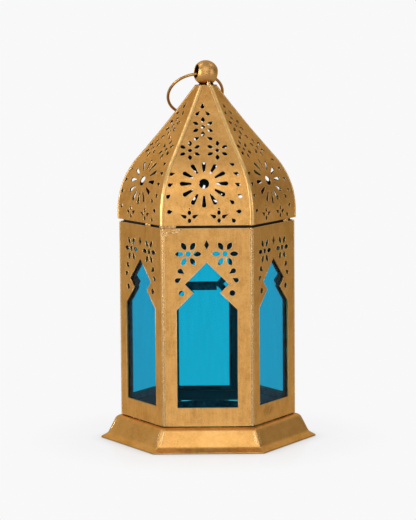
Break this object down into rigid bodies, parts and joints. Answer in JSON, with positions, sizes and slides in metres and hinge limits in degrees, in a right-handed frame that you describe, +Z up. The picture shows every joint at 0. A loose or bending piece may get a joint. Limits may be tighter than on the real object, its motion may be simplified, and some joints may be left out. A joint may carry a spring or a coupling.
{
  "type": "candle lantern",
  "caption": "Hexagonal gold metal candle lantern with blue glass windows, pierced ogee roof, ball finial, hanging ring and latched rear door.",
  "frame": {"origin": "centre of the foot, on the surface that the lantern stands on", "axes": "+Z up, -Y out of the front panel, the door is on the +Y side, corners of the hexagon on the X axis"},
  "size_m": [0.115, 0.0996, 0.2009],
  "materials": {
    "gold_paint": "antique gold paint over sheet steel, satin, fine grain",
    "blue_glass": "clear cyan-blue float glass",
    "plated_steel": "gold-lacquered steel wire, worn"
  },
  "bodies": {
    "lantern": {"base_plinth": "gold_paint", "base_deck": "gold_paint", "tealight_ring": "gold_paint", "base_solder": "gold_paint", "corner_post_1": "gold_paint", "corner_post_2": "gold_paint", "corner_post_3": "gold_paint", "corner_post_4": "gold_paint", "corner_post_5": "gold_paint", "corner_post_6": "gold_paint", "body_panel_front": "gold_paint", "body_panel_front_right": "gold_paint", "body_panel_rear_right": "gold_paint", "body_panel_rear_left": "gold_paint", "body_panel_front_left": "gold_paint", "glass_front": "blue_glass", "glass_front_right": "blue_glass", "glass_rear_right": "blue_glass", "glass_rear_left": "blue_glass", "glass_front_left": "blue_glass", "pane_retainer_front": "gold_paint", "pane_retainer_front_right": "gold_paint", "pane_retainer_rear_right": "gold_paint", "pane_retainer_rear_left": "gold_paint", "pane_retainer_front_left": "gold_paint", "rear_frame": "gold_paint", "hinge_upper_fixed_leaf": "gold_paint", "hinge_lower_fixed_leaf": "gold_paint", "hinge_upper_pin": "plated_steel", "hinge_lower_pin": "plated_steel", "latch_rivet": "plated_steel", "latch_washer": "gold_paint", "collar_band": "gold_paint", "collar_solder": "gold_paint", "roof_petal_front": "gold_paint", "roof_petal_front_right": "gold_paint", "roof_petal_rear_right": "gold_paint", "roof_petal_rear": "gold_paint", "roof_petal_rear_left": "gold_paint", "roof_petal_front_left": "gold_paint", "roof_seam_1": "gold_paint", "roof_seam_2": "gold_paint", "roof_seam_3": "gold_paint", "roof_seam_4": "gold_paint", "roof_seam_5": "gold_paint", "roof_seam_6": "gold_paint", "crown_cap": "gold_paint", "crown_tabs": "gold_paint", "finial_stud": "plated_steel", "ball_finial": "gold_paint"},
    "door": {"door_leaf": "gold_paint", "door_glass": "blue_glass", "door_grille": "gold_paint", "hinge_upper_door_leaf": "gold_paint", "hinge_lower_door_leaf": "gold_paint"},
    "latch": {"latch_button": "gold_paint"},
    "ring": {"hanging_ring": "gold_paint"}
  },
  "joints": [
    {"name": "door_hinge", "type": "hinge", "parent": "lantern", "child": "door", "pos_m": [0.0186, 0.04267, 0.0599], "axis": [0, 0, -1], "range_deg": [0, 120]},
    {"name": "latch_turn", "type": "hinge", "parent": "lantern", "child": "latch", "pos_m": [-0.0209, 0.0418, 0.0629], "axis": [0, -1, 0], "range_deg": [0, 95]},
    {"name": "ring_swing", "type": "hinge", "parent": "lantern", "child": "ring", "pos_m": [0, 0, 0.19432], "axis": [0.9326, 0.3211, -0.165], "range_deg": [0, 275]}
  ]
}
